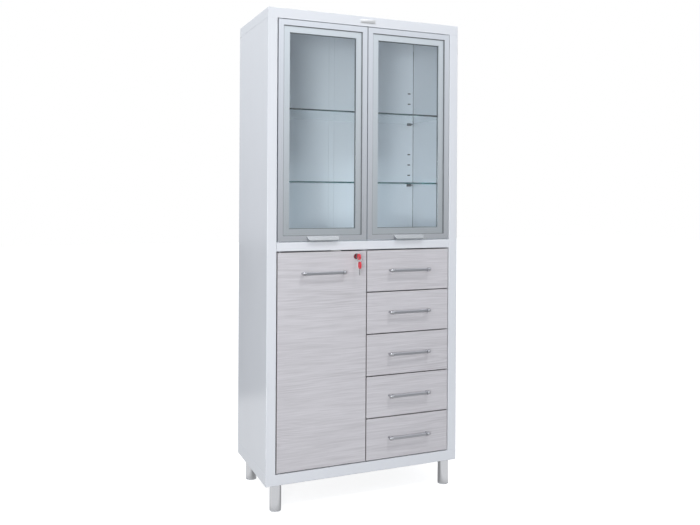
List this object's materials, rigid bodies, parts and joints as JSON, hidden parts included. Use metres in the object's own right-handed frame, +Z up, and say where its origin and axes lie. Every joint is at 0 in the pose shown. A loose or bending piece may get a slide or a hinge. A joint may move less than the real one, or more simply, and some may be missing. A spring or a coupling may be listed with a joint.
{
  "type": "medicine cabinet",
  "caption": "Tall medicine cabinet: hinged glass doors with glass shelves above, lockable laminated door and sliding drawers below, on round metal legs.",
  "frame": {"origin": "on the floor, under the middle of the whole", "axes": "+X to the right as seen from the front, +Y to the back, +Z up"},
  "size_m": [0.8, 0.455, 1.8558],
  "materials": {
    "white_steel": "semi-gloss powder coat",
    "frame_aluminium": "satin anodised",
    "clear_glass": "clear float glass",
    "grey_laminate": "pale grey wood-grain laminate",
    "satin_steel": "satin",
    "zinc_steel": "zinc plated",
    "lock_chrome": "polished",
    "red_plastic": "gloss",
    "dark_plastic": "matt",
    "white_plastic": "matt",
    "grey_plastic": "matt",
    "black_steel": "black passivated"
  },
  "bodies": {
    "cabinet": {"side_panel_left": "white_steel", "side_panel_right": "white_steel", "back_panel_left": "white_steel", "back_panel_right": "white_steel", "back_center_channel": "white_steel", "top_cap": "white_steel", "cap_header": "white_steel", "base_tray": "white_steel", "floor_panel": "white_steel", "mid_deck": "white_steel", "lower_partition": "white_steel", "drawer_liner": "white_steel", "lower_shelf": "white_steel", "glass_shelves": "clear_glass", "shelf_clips": "black_steel", "pivot_pins": "zinc_steel", "magnetic_catches": "white_plastic", "slide_outer_members": "zinc_steel", "legs": "satin_steel", "leg_glides": "grey_plastic", "carcass_screws": "zinc_steel"},
    "left_glass_door": {"left_door_frame": "frame_aluminium", "left_door_glass": "clear_glass", "left_door_bead": "dark_plastic", "left_door_pull": "frame_aluminium", "left_door_bushes": "white_plastic"},
    "right_glass_door": {"right_door_frame": "frame_aluminium", "right_door_glass": "clear_glass", "right_door_bead": "dark_plastic", "right_door_pull": "frame_aluminium", "right_door_bushes": "white_plastic"},
    "lower_door": {"lower_door_panel": "grey_laminate", "lower_door_handle": "satin_steel", "lower_door_bushes": "white_plastic", "lock_housing": "lock_chrome"},
    "lock_barrel": {"lock_plug": "lock_chrome", "lock_cam": "zinc_steel", "lock_key": "red_plastic"},
    "key_bunch": {"key_ring": "satin_steel", "spare_key": "red_plastic"},
    "drawer_1": {"drawer_1_front": "grey_laminate", "drawer_1_box": "white_steel", "drawer_1_handle": "satin_steel", "drawer_1_slide": "zinc_steel"},
    "drawer_2": {"drawer_2_front": "grey_laminate", "drawer_2_box": "white_steel", "drawer_2_handle": "satin_steel", "drawer_2_slide": "zinc_steel"},
    "drawer_3": {"drawer_3_front": "grey_laminate", "drawer_3_box": "white_steel", "drawer_3_handle": "satin_steel", "drawer_3_slide": "zinc_steel"},
    "drawer_4": {"drawer_4_front": "grey_laminate", "drawer_4_box": "white_steel", "drawer_4_handle": "satin_steel", "drawer_4_slide": "zinc_steel"},
    "drawer_5": {"drawer_5_front": "grey_laminate", "drawer_5_box": "white_steel", "drawer_5_handle": "satin_steel", "drawer_5_slide": "zinc_steel"}
  },
  "joints": [
    {"name": "left_glass_door_hinge", "type": "hinge", "parent": "cabinet", "child": "left_glass_door", "pos_m": [-0.3475, -0.174, 0.9945], "axis": [0, 0, -1], "range_deg": [0, 110]},
    {"name": "right_glass_door_hinge", "type": "hinge", "parent": "cabinet", "child": "right_glass_door", "pos_m": [0.3475, -0.174, 0.9945], "axis": [0, 0, 1], "range_deg": [0, 110]},
    {"name": "lower_door_hinge", "type": "hinge", "parent": "cabinet", "child": "lower_door", "pos_m": [-0.3475, -0.174, 0.142], "axis": [0, 0, -1], "range_deg": [0, 110]},
    {"name": "lock_turn", "type": "hinge", "parent": "lower_door", "child": "lock_barrel", "pos_m": [-0.0445, -0.181, 0.933], "axis": [0, 1, 0], "range_deg": [0, 90]},
    {"name": "spare_key_swing", "type": "hinge", "parent": "lock_barrel", "child": "key_bunch", "pos_m": [-0.0445, -0.216, 0.933], "axis": [-1, 0, 0], "range_deg": [-25, 60]},
    {"name": "drawer_1_slide", "type": "slide", "parent": "cabinet", "child": "drawer_1", "axis": [0, -1, 0], "range_m": [0, 0.265]},
    {"name": "drawer_2_slide", "type": "slide", "parent": "cabinet", "child": "drawer_2", "axis": [0, -1, 0], "range_m": [0, 0.265]},
    {"name": "drawer_3_slide", "type": "slide", "parent": "cabinet", "child": "drawer_3", "axis": [0, -1, 0], "range_m": [0, 0.265]},
    {"name": "drawer_4_slide", "type": "slide", "parent": "cabinet", "child": "drawer_4", "axis": [0, -1, 0], "range_m": [0, 0.265]},
    {"name": "drawer_5_slide", "type": "slide", "parent": "cabinet", "child": "drawer_5", "axis": [0, -1, 0], "range_m": [0, 0.265]}
  ]
}
